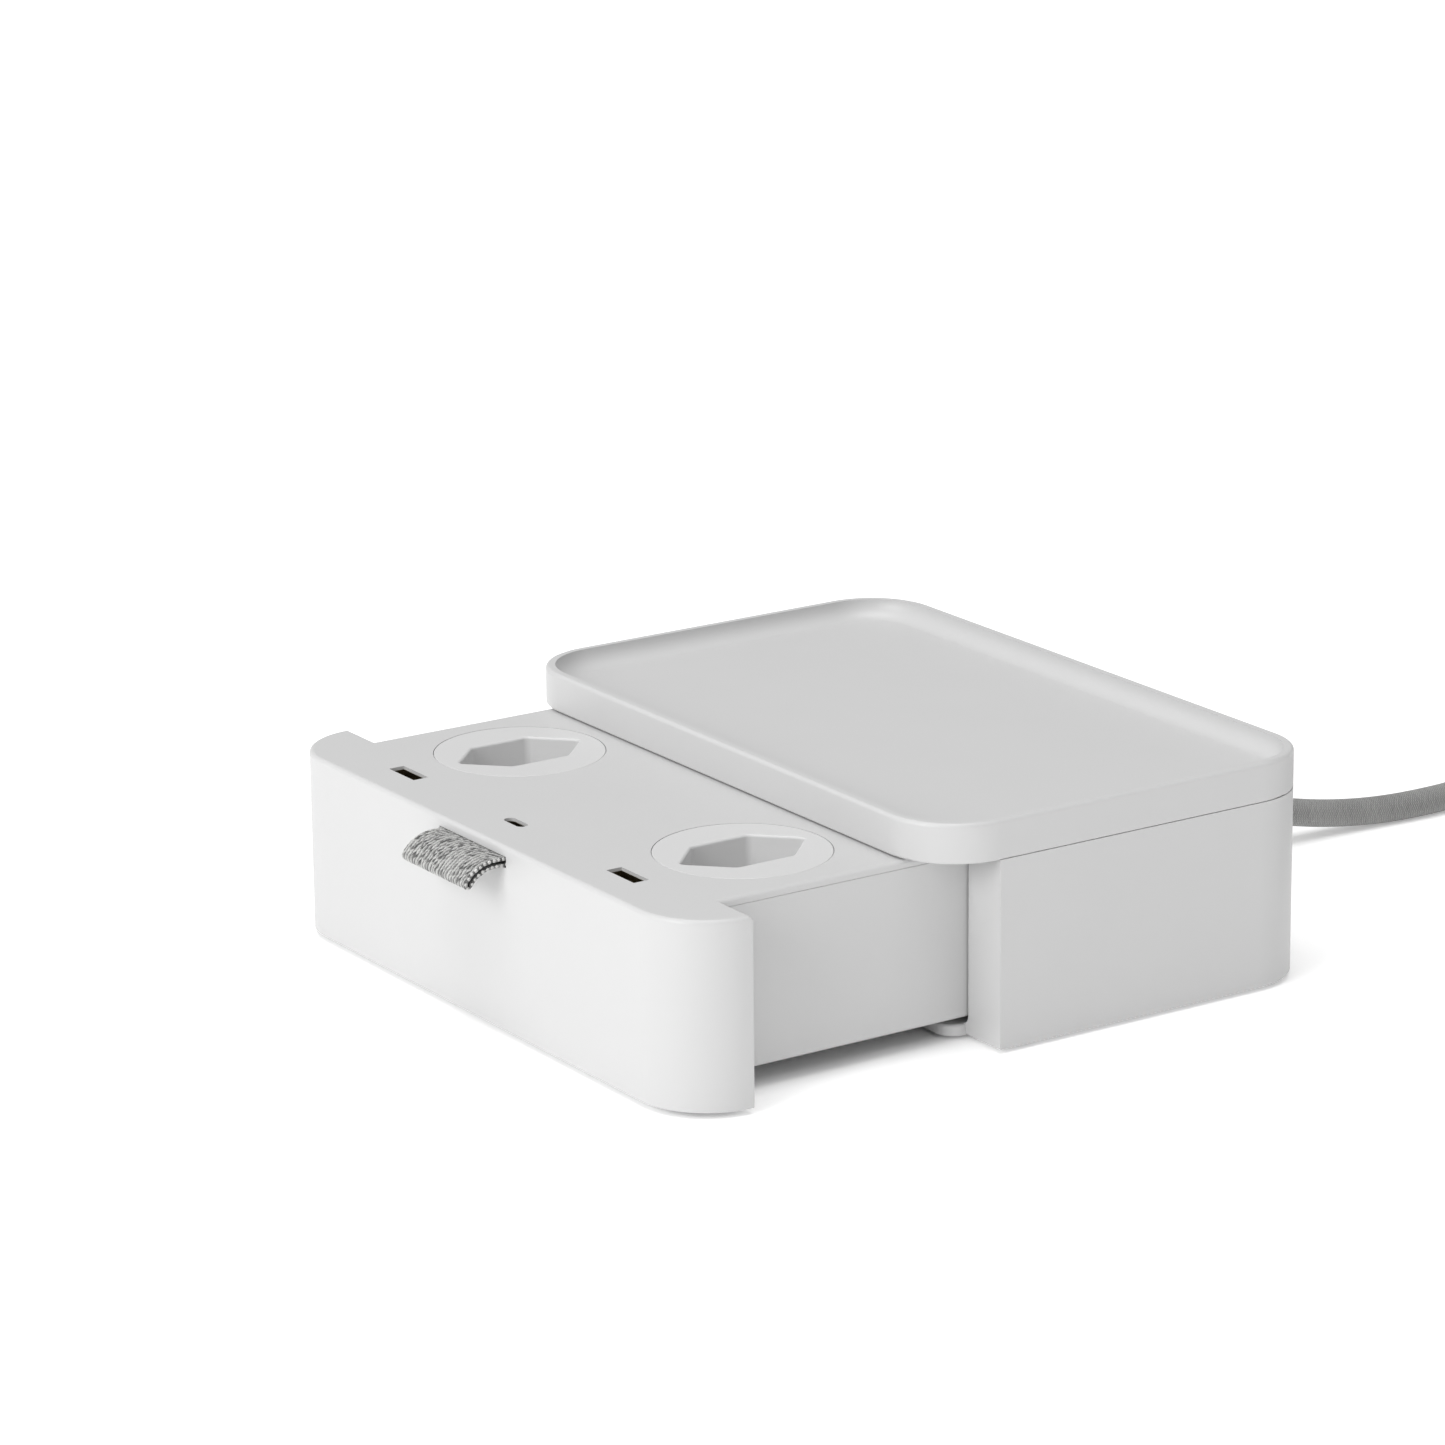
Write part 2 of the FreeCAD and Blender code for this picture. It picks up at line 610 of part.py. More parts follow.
for pole in ("line", "earth", "neutral"):
    save(f"{pole}_busbar", make_busbar(pole))
save("usb_a_contacts", make_usb_a_contacts())
save("usb_c_shell", make_usb_c_shell())
save("usb_c_tongue", make_usb_c_tongue())
save("usb_power_board", make_power_board())
save("board_components", make_board_components())
save("board_posts", make_board_posts())
save("terminal_block", make_terminal_block())
save("drawer_grommet", grommet)
save("pull_tab", make_tab())
save("tab_clamp", make_tab_clamp())
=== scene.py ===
"""Looks for a desk power box: a tray on a housing, and a drawer of sockets with a woven pull tab."""
import json
import math
import random

import bpy
import numpy as np
from mathutils import Matrix, Vector


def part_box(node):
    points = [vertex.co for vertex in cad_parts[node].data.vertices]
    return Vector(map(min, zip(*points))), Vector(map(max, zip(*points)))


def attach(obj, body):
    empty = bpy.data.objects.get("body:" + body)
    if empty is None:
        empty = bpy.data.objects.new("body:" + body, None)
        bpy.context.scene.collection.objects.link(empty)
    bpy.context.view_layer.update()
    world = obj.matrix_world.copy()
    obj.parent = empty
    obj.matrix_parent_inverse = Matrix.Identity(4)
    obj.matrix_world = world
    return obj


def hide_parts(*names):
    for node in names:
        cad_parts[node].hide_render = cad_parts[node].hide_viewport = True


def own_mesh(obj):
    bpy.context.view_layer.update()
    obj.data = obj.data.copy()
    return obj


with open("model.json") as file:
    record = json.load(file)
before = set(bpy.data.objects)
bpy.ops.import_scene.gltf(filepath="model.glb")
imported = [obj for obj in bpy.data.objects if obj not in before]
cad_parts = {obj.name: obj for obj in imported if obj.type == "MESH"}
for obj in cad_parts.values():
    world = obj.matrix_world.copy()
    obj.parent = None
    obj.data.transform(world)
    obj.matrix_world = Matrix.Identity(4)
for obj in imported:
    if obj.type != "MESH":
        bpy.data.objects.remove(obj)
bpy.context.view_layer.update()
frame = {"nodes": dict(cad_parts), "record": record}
nodes = frame["nodes"]
tray_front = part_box("organiser_tray")[0].y          # the part's own y = 0


def at(x, y, z):
    """A point of the part, given in millimetres from the tray's front edge, in the row frame."""
    return Vector((x / 1000, tray_front + y / 1000, z / 1000))


# ---------------------------------------------------------------- node helpers
def new_material(name):
    material = bpy.data.materials.new(name)
    material.use_nodes = True
    tree = material.node_tree
    return material, tree, tree.nodes["Principled BSDF"]


def add(tree, kind, inputs=None, **settings):
    node = tree.nodes.new(kind)
    for key, value in settings.items():
        setattr(node, key, value)
    for key, value in (inputs or {}).items():
        if isinstance(value, bpy.types.NodeSocket):
            tree.links.new(value, node.inputs[key])
        else:
            node.inputs[key].default_value = value
    return node


def object_coords(tree):
    return add(tree, "ShaderNodeTexCoord").outputs["Object"]


def noise(tree, vector, scale, detail=3.0, roughness=0.55):
    inputs = {"Vector": vector, "Scale": scale, "Detail": detail, "Roughness": roughness}
    return add(tree, "ShaderNodeTexNoise", inputs).outputs["Fac"]


def mix_colors(tree, fac, a, b):
    node = add(tree, "ShaderNodeMix", {0: fac}, data_type="RGBA")
    for index, value in ((6, a), (7, b)):
        if isinstance(value, bpy.types.NodeSocket):
            tree.links.new(value, node.inputs[index])
        else:
            node.inputs[index].default_value = (*value, 1.0)
    return node.outputs[2]


def map_range(tree, value, low, high, to_low, to_high):
    inputs = {"Value": value, "From Min": low, "From Max": high, "To Min": to_low, "To Max": to_high}
    return add(tree, "ShaderNodeMapRange", inputs).outputs["Result"]


def calculate(tree, operation, a, b=0.0):
    return add(tree, "ShaderNodeMath", {0: a, 1: b}, operation=operation).outputs[0]


def bump(tree, height, strength, distance, normal=None):
    inputs = {"Height": height, "Strength": strength, "Distance": distance}
    if normal is not None:
        inputs["Normal"] = normal
    return add(tree, "ShaderNodeBump", inputs).outputs["Normal"]


def plastic(name, color, roughness):
    """Moulded plastic: fine spark-eroded grain, a slow waviness from the mould and a faint colour mottle."""
    material, tree, shader = new_material(name)
    where = object_coords(tree)
    mottle, grain, wave_height = 0.012, 0.00002, 0.00025
    slow = noise(tree, where, 45.0, 2.0)
    dark = tuple(c * (1 - mottle) for c in color)
    light = tuple(min(1.0, c * (1 + mottle)) for c in color)
    tree.links.new(mix_colors(tree, slow, dark, light), shader.inputs["Base Color"])
    fine = noise(tree, where, 2600.0, 2.0)
    dullness = map_range(tree, fine, 0.3, 0.7, roughness - 0.05, roughness + 0.06)
    tree.links.new(dullness, shader.inputs["Roughness"])
    wavy = bump(tree, slow, 0.25, wave_height)
    tree.links.new(bump(tree, fine, 0.5, grain, wavy), shader.inputs["Normal"])
    shader.inputs["Specular IOR Level"].default_value = 0.5
    return material


def metal(name, color, roughness):
    """Drawn or plated metal with fine streaks and slight tarnish."""
    material, tree, shader = new_material(name)
    stretch = {"Vector": object_coords(tree), "Scale": (40.0, 40.0, 900.0)}
    where = add(tree, "ShaderNodeMapping", stretch).outputs["Vector"]
    lines = noise(tree, where, 12.0, 4.0)
    tarnish = noise(tree, object_coords(tree), 300.0, 3.0)
    dull = tuple(c * 0.72 for c in color)
    tree.links.new(mix_colors(tree, map_range(tree, tarnish, 0.4, 0.75, 0.0, 0.6), color, dull),
                   shader.inputs["Base Color"])
    dullness = map_range(tree, lines, 0.3, 0.7, roughness - 0.06, roughness + 0.1)
    tree.links.new(dullness, shader.inputs["Roughness"])
    tree.links.new(bump(tree, lines, 0.3, 0.00003), shader.inputs["Normal"])
    shader.inputs["Metallic"].default_value = 1.0
    return material


def rubber(name, color, roughness=0.62):
    """Soft moulded rubber: a fine dull grain with faint dusting."""
    material, tree, shader = new_material(name)
    where = object_coords(tree)
    dust = noise(tree, where, 120.0, 5.0)
    pale = tuple(min(1.0, c + 0.05) for c in color)
    tree.links.new(mix_colors(tree, map_range(tree, dust, 0.45, 0.75, 0.0, 1.0), color, pale),
                   shader.inputs["Base Color"])
    shader.inputs["Roughness"].default_value = roughness
    tree.links.new(bump(tree, noise(tree, where, 1800.0, 3.0), 0.5, 0.00005), shader.inputs["Normal"])
    return material


def circuit(name):
    """Solder mask with fine copper tracks showing through."""
    material, tree, shader = new_material(name)
    where = object_coords(tree)
    inputs = {"Vector": where, "Scale": 160.0, "Mortar Size": 0.03, "Mortar": (0.1, 0.32, 0.14, 1),
              "Color1": (0.02, 0.16, 0.08, 1), "Color2": (0.02, 0.2, 0.1, 1)}
    cells = add(tree, "ShaderNodeTexBrick", inputs)
    tree.links.new(cells.outputs["Color"], shader.inputs["Base Color"])
    tree.links.new(bump(tree, cells.outputs["Fac"], 0.4, 0.00004), shader.inputs["Normal"])
    shader.inputs["Roughness"].default_value = 0.3
    return material


def yarn(name, dark, light, fuzz):
    """Woven yarn.  In the mesh, "shade" is a stitch's tone with painted shade in its hollows, and "thread"
    runs across its plies.
    """
    material, tree, shader = new_material(name)
    shade = add(tree, "ShaderNodeAttribute", attribute_name="shade").outputs["Fac"]
    thread = add(tree, "ShaderNodeAttribute", attribute_name="thread").outputs["Fac"]
    wave = calculate(tree, "SINE", calculate(tree, "MULTIPLY", thread, math.tau))
    fibre = noise(tree, object_coords(tree), 5200.0, 4.0, 0.7)
    # painted shade: the sine across the plies darkens the grooves between them
    tone = calculate(tree, "ADD", map_range(tree, wave, -1.0, 1.0, -0.10, 0.10), shade)
    tone = calculate(tree, "ADD", map_range(tree, fibre, 0.3, 0.7, -0.12, 0.12), tone)
    tree.links.new(mix_colors(tree, tone, dark, light), shader.inputs["Base Color"])
    ply_bump = bump(tree, wave, 0.6, 0.00005)
    tree.links.new(bump(tree, fibre, 0.5, 0.00004, ply_bump), shader.inputs["Normal"])
    shader.inputs["Roughness"].default_value = 0.85
    shader.inputs["Specular IOR Level"].default_value = 0.2
    shader.inputs["Sheen Weight"].default_value = fuzz
    shader.inputs["Sheen Roughness"].default_value = 0.5
    return material


braid_strands = 16            # each way round
braid_width = 0.00063         # one strand's width, measured along the lead


def braided_sleeve(name, dark, light):
    """Braided yarn sleeve with painted shade where its strands cross.  Its UV map holds turns around the lead
    and metres along it.
    """
    material, tree, shader = new_material(name)

    def calc(operation, a, b=0.0):
        return calculate(tree, operation, a, b)

    uv = add(tree, "ShaderNodeSeparateXYZ", {0: add(tree, "ShaderNodeUVMap", uv_map="braid").outputs[0]})
    around = calc("MULTIPLY", uv.outputs["X"], float(braid_strands))
    along = calc("MULTIPLY", uv.outputs["Y"], 1 / braid_width)
    left, right = calc("ADD", around, along), calc("SUBTRACT", around, along)
    left_cell, right_cell = calc("FLOOR", left), calc("FLOOR", right)
    right_on_top = calc("FLOORED_MODULO", calc("ADD", left_cell, right_cell), 2.0)

    def top_of(when_left, when_right):
        step = calc("MULTIPLY", calc("SUBTRACT", when_right, when_left), right_on_top)
        return calc("ADD", when_left, step)

    across = calc("SUBTRACT", calc("FRACT", top_of(left, right)), 0.5)
    length = calc("SUBTRACT", calc("FRACT", top_of(right, left)), 0.5)
    drop = calc("MULTIPLY", calc("MULTIPLY", across, across), 4.0)
    round_top = calc("SQRT", calc("MAXIMUM", calc("SUBTRACT", 1.0, drop), 0.0))
    arch = calc("SUBTRACT", 1.0, calc("MULTIPLY", calc("MULTIPLY", length, length), 2.2))
    height = calc("MULTIPLY", round_top, arch)
    slant = calc("ADD", calc("MULTIPLY", across, 2.0), length)
    plies = calc("SINE", calc("MULTIPLY", slant, math.tau * 1.5))
    strand = calc("FLOORED_MODULO", top_of(left_cell, right_cell), float(braid_strands))
    strand_tone = add(tree, "ShaderNodeTexWhiteNoise", {"W": strand}, noise_dimensions="1D").outputs["Value"]
    fibre = noise(tree, object_coords(tree), 3800.0, 3.0, 0.7)
    slow = noise(tree, object_coords(tree), 90.0, 2.0)
    # painted shade: a strand's tone follows its height, so it darkens at its edges and where it dives under a
    # crossing; the ply stripes darken the grooves between plies
    tone = calc("MULTIPLY", height, 0.72)
    for part, low, high in ((plies, -0.05, 0.05), (strand_tone, -0.04, 0.06), (fibre, -0.10, 0.14),
                            (slow, -0.08, 0.08)):
        span = (-1.0, 1.0) if part is plies else (0.2, 0.8)
        tone = calc("ADD", tone, map_range(tree, part, *span, low, high))
    tree.links.new(mix_colors(tree, tone, dark, light), shader.inputs["Base Color"])
    relief = bump(tree, height, 0.9, 0.00016)
    tree.links.new(bump(tree, plies, 0.35, 0.00003, relief), shader.inputs["Normal"])
    shader.inputs["Roughness"].default_value = 0.7
    shader.inputs["Specular IOR Level"].default_value = 0.3
    shader.inputs["Sheen Weight"].default_value = 0.25
    return material


materials = {
    "shell_plastic": plastic("shell_plastic", (0.56, 0.56, 0.56), 0.40),
    "insert_plastic": plastic("insert_plastic", (0.61, 0.61, 0.61), 0.34),
    "glide_plastic": plastic("glide_plastic", (0.74, 0.73, 0.70), 0.35),
    "dark_plastic": plastic("dark_plastic", (0.045, 0.045, 0.05), 0.5),
    "port_plastic": plastic("port_plastic", (0.10, 0.085, 0.045), 0.42),
    "plug_plastic": plastic("plug_plastic", (0.27, 0.27, 0.27), 0.5),
    "steel": metal("steel", (0.56, 0.55, 0.52), 0.32),
    "port_metal": metal("port_metal", (0.24, 0.20, 0.13), 0.30),
    "nickel": metal("nickel", (0.70, 0.68, 0.62), 0.18),
    "brass": metal("brass", (0.72, 0.56, 0.26), 0.26),
    "rubber": rubber("rubber", (0.03, 0.03, 0.03)),
    "relief_rubber": rubber("relief_rubber", (0.20, 0.20, 0.20), 0.55),
    "inner_cable": rubber("inner_cable", (0.62, 0.62, 0.6), 0.45),
    "circuit_board": circuit("circuit_board"),
    "braid": braided_sleeve("braid", (0.045, 0.045, 0.045), (0.52, 0.52, 0.51)),
    "webbing": yarn("webbing", (0.025, 0.025, 0.025), (0.71, 0.71, 0.695), 0.2),
}

for entry in frame["record"]["subparts"]:
    mesh = nodes[entry["node"]].data
    mesh.materials.clear()
    mesh.materials.append(materials[entry["material_slot"]])


# ---------------------------------------------------------------- mesh helpers
def make_piece(name, points, faces, material, attributes=None, smooth=True):
    mesh = bpy.data.meshes.new(name)
    mesh.from_pydata([tuple(p) for p in points], [], faces)
    mesh.materials.append(materials[material])
    if smooth:
        mesh.polygons.foreach_set("use_smooth", [True] * len(mesh.polygons))
    for key, values in (attributes or {}).items():
        mesh.attributes.new(key, "FLOAT", "POINT").data.foreach_set("value", np.asarray(values, np.float32))
    mesh.update()
    piece = bpy.data.objects.new(name, mesh)
    bpy.context.scene.collection.objects.link(piece)
    return piece


def nurbs_line(points):
    """The smooth line of a route: an order 3 NURBS spline with the route's points as its control points."""
    curve = bpy.data.curves.new("route", "CURVE")
    curve.dimensions = "3D"
    curve.resolution_u = 24
    spline = curve.splines.new("NURBS")
    spline.points.add(len(points) - 1)
    for point, target in zip(spline.points, points):
        point.co = (*target, 1.0)
    spline.order_u = 3
    spline.use_endpoint_u = True
    holder = bpy.data.objects.new("route", curve)
    line = bpy.data.meshes.new_from_object(holder)
    found = np.array([v.co[:] for v in line.vertices])
    bpy.data.objects.remove(holder)
    bpy.data.curves.remove(curve)
    bpy.data.meshes.remove(line)
    return found


def resample(line, step):
    gaps = np.linalg.norm(np.diff(line, axis=0), axis=1)
    keep = np.concatenate([[True], gaps > 1e-9])
    line = line[keep]
    run = np.concatenate([[0.0], np.cumsum(np.linalg.norm(np.diff(line, axis=0), axis=1))])
    count = max(2, int(round(run[-1] / step)) + 1)
    want = np.linspace(0.0, run[-1], count)
    return np.stack([np.interp(want, run, line[:, i]) for i in range(3)], axis=1), want


def frames_along(line):
    """Side and top vectors that turn as little as possible along a line."""
    ahead = np.gradient(line, axis=0)
    ahead /= np.linalg.norm(ahead, axis=1)[:, None]
    up = np.array([0.0, 0.0, 1.0])
    tops = np.empty_like(line)
    for i, direction in enumerate(ahead):
        up = up - direction * (up @ direction)
        up /= np.linalg.norm(up)
        tops[i] = up
    return np.cross(ahead, tops), tops


def tube_mesh(line, radius, around):
    """Points and faces of a closed round tube along a line."""
    sides, tops = frames_along(line)
    angles = np.arange(around) * math.tau / around
    cosines, sines = np.cos(angles)[None, :, None], np.sin(angles)[None, :, None]
    ring = sides[:, None, :] * cosines + tops[:, None, :] * sines
    points = (line[:, None, :] + ring * radius).reshape(-1, 3)
    rows = len(line)
    faces = []
    for i in range(rows - 1):
        a, b = i * around, (i + 1) * around
        faces += [(a + j, a + (j + 1) % around, b + (j + 1) % around, b + j) for j in range(around)]
    faces.append(tuple(reversed(range(around))))
    faces.append(tuple(range((rows - 1) * around, rows * around)))
    return points, faces


# ---------------------------------------------------------------- mains lead
cord_d = 0.008
turn_pitch = 8.0              # mm from one turn of the coil to the next, sideways and upwards
cord_on_desk = 4.0            # mm: the height of the lead's middle where it lies on the desk
inner_cable_r = 0.00365
relief_end = at(0, 152.5, 16)
lead_route = [relief_end, at(0.3, 172, 14), at(1.2, 191, 9.6), at(2.2, 209, 5.8), at(3.6, 227, 4),
              at(5, 244, 4), at(3.6, 262, 4), at(4.2, 285, 4)]
coil_middle_r = 47.2
coil_centre = (4.2 + coil_middle_r + turn_pitch, 300.0)
plug_boot = at(coil_centre[0] + coil_middle_r + turn_pitch, 263.0, 9.0)


def ease(t, start, width=0.12):
    t = min(max((t - start) / width, 0.0), 1.0)
    return t * t * (3 - 2 * t)


def coil_points():
    """Five and a half turns: three columns outside in on the desk, then three columns inside out on top."""
    turns, per_turn, points = 5.5, 16, []
    for step in range(1, int(turns * per_turn) + 1):
        t = step / per_turn
        column = 1 - ease(t, 0.8) - ease(t, 1.8) + ease(t, 3.56) + ease(t, 4.56)
        layer = ease(t, 2.68)
        r = (coil_middle_r + turn_pitch * column) / math.cos(math.pi / per_turn) ** 0.5
        angle = math.pi - t * math.tau
        x, y = coil_centre[0] + r * math.cos(angle), coil_centre[1] + r * math.sin(angle)
        points.append(at(x, y, cord_on_desk + turn_pitch * layer))
    return points


def braided_lead():
    """The whole lead as one tube in a braided sleeve, whose UV map runs around and along it."""
    route = lead_route + coil_points()
    route += [plug_boot + Vector((0, 0.022, 0.002)), plug_boot + Vector((0, 0.008, 0.0)), plug_boot]
    line, run = resample(nurbs_line(route), 0.0012)
    around = 32
    points, faces = tube_mesh(line, cord_d / 2, around)
    lead = make_piece("mains_lead", points, faces, "braid")
    uv = []
    for start, end in zip(run, run[1:]):
        for j in range(around):
            here, ahead = j / around, (j + 1) / around
            uv += [(here, start), (ahead, start), (ahead, end), (here, end)]
    uv += [(0.0, 0.0)] * (2 * around)
    lead.data.uv_layers.new(name="braid").data.foreach_set("uv", np.array(uv, np.float32).ravel())
    return lead, line


def lathe(name, centre, profile, around, material):
    """A turned shape along +Y: profile is (distance along Y in mm, radius in mm), closed at both ends."""
    points, faces = [], []
    angles = [i * math.tau / around for i in range(around)]
    for along, radius in profile:
        for a in angles:
            points.append(centre + Vector((radius * math.cos(a), along, radius * math.sin(a))) / 1000)
    for i in range(len(profile) - 1):
        low, high = i * around, (i + 1) * around
        faces += [(low + j, high + j, high + (j + 1) % around, low + (j + 1) % around) for j in range(around)]
    faces.append(tuple(range(around)))
    faces.append(tuple(reversed(range((len(profile) - 1) * around, len(profile) * around))))
    return make_piece(name, points, faces, material)


def ribbed_boot():
    """Strain relief: a flange against the back wall and a tapered sleeve cut by flexing grooves."""
    profile = [(-9.0, 4.3), (-9.0, 6.3), (-8.6, 6.5), (-6.2, 6.5), (-6.0, 6.3), (-6.0, 4.55), (0.0, 4.55),
               (0.0, 7.6), (0.3, 7.9), (2.0, 7.9), (2.4, 7.5)]
    start, end, grooves, wide_r, taper, bottom_r = 2.5, 25.6, 7, 6.6, 1.9, 4.15
    pitch = (end - start) / grooves
    for i in range(grooves):
        y0 = start + i * pitch
        r0 = wide_r - (y0 - start) / (end - start) * taper
        r1 = wide_r - (y0 + pitch - start) / (end - start) * taper
        groove_r0 = r0 - 1.25 if r0 > 5.4 else bottom_r
        groove_r1 = r1 - 0.95 if r1 > 5.2 else bottom_r
        profile += [(y0 + 0.05, r0), (y0 + pitch * 0.56, r0 - 0.25), (y0 + pitch * 0.62, r0 - 0.4),
                    (y0 + pitch * 0.66, groove_r0), (y0 + pitch * 0.9, groove_r1),
                    (y0 + pitch * 0.95, r1 - 0.15)]
    profile += [(25.8, 4.6), (26.0, 4.3)]
    boot = lathe("strain_relief_boot", at(0, 126.5, 16), profile, 48, "relief_rubber")
    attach(boot, "housing")
    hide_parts("strain_relief")
    return boot


drawer_front = -76.05         # mm: the open drawer's front, and so how far it slides
lead, lead_line = braided_lead()
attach(lead, "housing")
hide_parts("mains_cord", "cord_coil", "cord_tail")
boot = ribbed_boot()


def inner_cable():
    """The lead's inner end, as a fixed tube on the housing; the real one folds up behind the drawer as it
    closes, and this one is not made to fold.
    """
    fixed, moving = at(0, 117.5, 16), at(0, 29, 22.5)
    route = [fixed, at(0, 103, 16), at(5, 89, 17.5), at(10, 75, 19.5), at(4, 60, 21.5), at(-3, 46, 22.5),
             moving]
    line, _ = resample(nurbs_line(route), 0.0015)
    around = 24
    points, faces = tube_mesh(line, inner_cable_r, around)
    cable = make_piece("inner_cable", points, faces, "inner_cable")
    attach(cable, "housing")
    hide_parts("service_loop")
    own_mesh(cable)


inner_cable()


# ---------------------------------------------------------------- port liners
port_liner_t, port_lip = 0.12, 0.9          # wall of a liner, and how far it stays below the cover's top
drawer_top, cover_t = 52.2, 2.0
usb_a_x, usb_y = 54.4, -63.0


def port_liner(name, x, y, half_w, half_t, corner):
    """The upper edge of a port's metal shell, which lines its mouth in the cover."""
    points, faces, steps = [], [], 5

    def ring(inset, z):
        r = corner - inset
        for sx, sy, start in ((1, 1, 0.0), (-1, 1, 0.25), (-1, -1, 0.5), (1, -1, 0.75)):
            for i in range(steps):
                a = (start + 0.25 * i / (steps - 1)) * math.tau
                points.append(at(x + sx * (half_w - corner) + r * math.cos(a),
                                 y + sy * (half_t - corner) + r * math.sin(a), z))

    top, low, gap = drawer_top - port_lip, drawer_top - cover_t - 0.5, 0.02
    for inset, z in ((gap, low), (gap, top), (gap + port_liner_t, top), (gap + port_liner_t, low)):
        ring(inset, z)
    count = 4 * steps
    for k in range(4):
        a, b = k * count, (k + 1) % 4 * count
        faces += [(a + j, a + (j + 1) % count, b + (j + 1) % count, b + j) for j in range(count)]
    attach(make_piece(name, points, faces, "port_metal", smooth=False), "drawer")


for word, side in (("left", -1), ("right", 1)):
    port_liner(f"usb_a_liner_{word}", side * usb_a_x, usb_y, 6.45, 2.3, 0.25)
port_liner("usb_c_liner", 0.0, usb_y + 0.3, 4.45, 1.6, 1.5)

# ---------------------------------------------------------------- pull tab
tab_root_z, tab_width = 47.95, 32.4
tab_out, tab_tail = 2.8, 9.0                # straight ahead of the front, and behind it
tab_bend_r, tab_turn = 9.85, math.radians(55)
layer_gap, layer_t = 0.80, 0.92             # a layer's middle from the fold's middle, and its thickness


def tab_profile(step):
    """The folded webbing's centre line in (y, z) mm, with outward normals: upper layer, fold, lower layer."""
    centre_y, centre_z = drawer_front - tab_out, tab_root_z - tab_bend_r
    spine = []
    straight = tab_out + tab_tail
    count = int(straight / step)
    for i in range(count):
        spine.append(((drawer_front + tab_tail - straight * i / count, tab_root_z), (0.0, 1.0)))
    count = int(tab_bend_r * tab_turn / step)
    for i in range(count + 1):
        a = tab_turn * i / count
        spine.append(((centre_y - tab_bend_r * math.sin(a), centre_z + tab_bend_r * math.cos(a)),
                      (-math.sin(a), math.cos(a))))
    upper = [((y + ny * layer_gap, z + nz * layer_gap), (ny, nz)) for (y, z), (ny, nz) in spine]
    lower = [((y - ny * layer_gap, z - nz * layer_gap), (-ny, -nz)) for (y, z), (ny, nz) in reversed(spine)]
    (ty, tz), (ny, nz) = spine[-1]
    fold, fold_steps = [], 8
    for i in range(1, fold_steps):
        a = math.pi * i / fold_steps
        dy, dz = ny * math.cos(a) - nz * math.sin(a), nz * math.cos(a) + ny * math.sin(a)
        fold.append(((ty + dy * layer_gap, tz + dz * layer_gap), (dy, dz)))
    return upper + fold + lower


def weave(run, x):
    """Relief, tone and place across the plies on a grid whose rows are at run and whose columns are at x; the
    tone carries painted shade in the valleys.
    """
    ribs, stitch, slant, uneven = 24, 0.86, 0.75, 0.15
    valley, tone_repeat = 0.22, 128
    rib = (x - x[0]) / (x[-1] - x[0]) * ribs
    cell = np.minimum(np.floor(rib).astype(int), ribs - 1)
    inside = rib - cell - 0.5
    rng = np.random.default_rng(11)
    wander = rng.uniform(-uneven, uneven, ribs)
    # each rib has a left and a right leg, slanted against each other, so a stitch is a small V
    leg = np.where(inside < 0, 0, 1)
    leg_inside = np.abs(inside) * 2.0
    phase = run[:, None] / stitch + slant * leg_inside[None, :]
    phase = phase + 0.5 * (cell % 2)[None, :] + wander[cell][None, :] + 0.5 * leg[None, :]
    number = np.floor(phase).astype(int)
    within = phase - number - 0.5
    stitch_height = np.sqrt(np.clip(1 - (1.75 * within) ** 2, 0, 1))
    rib_height = np.sqrt(np.clip(1 - (1.95 * inside) ** 2, 0, 1))
    relief = rib_height[None, :] * (valley + (1 - valley) * stitch_height)
    tones = rng.uniform(0.0, 1.0, (2 * ribs, tone_repeat))
    mixed = tones[(2 * cell + leg)[None, :].repeat(len(run), 0), number % tone_repeat]
    speck = np.where(mixed > 0.45, 0.94, np.where(mixed > 0.20, 0.66, 0.34))
    # painted shade: the yarn's random speck is scaled by the relief, so the valleys between ribs and between
    # stitches are painted dark
    tone = -0.16 + 1.08 * relief * speck
    thread = (within + leg_inside[None, :] * 0.5) * 2.0
    return relief, tone, thread


def sheet_faces(rows, columns):
    """Faces of a closed sheet, whose points are an outer grid, row by row, and an inner grid after it."""
    faces, back = [], rows * columns
    for i in range(rows - 1):
        for j in range(columns - 1):
            a = i * columns + j
            faces.append((a, a + columns, a + columns + 1, a + 1))
            faces.append((back + a, back + a + 1, back + a + columns + 1, back + a + columns))
        for j in (0, columns - 1):
            a, b = i * columns + j, (i + 1) * columns + j
            faces.append((a, back + a, back + b, b) if j == 0 else (a, b, back + b, back + a))
    for i in (0, rows - 1):
        for j in range(columns - 1):
            a = i * columns + j
            faces.append((a, a + 1, back + a + 1, back + a) if i == 0 else (a + 1, a, back + a, back + a + 1))
    return faces


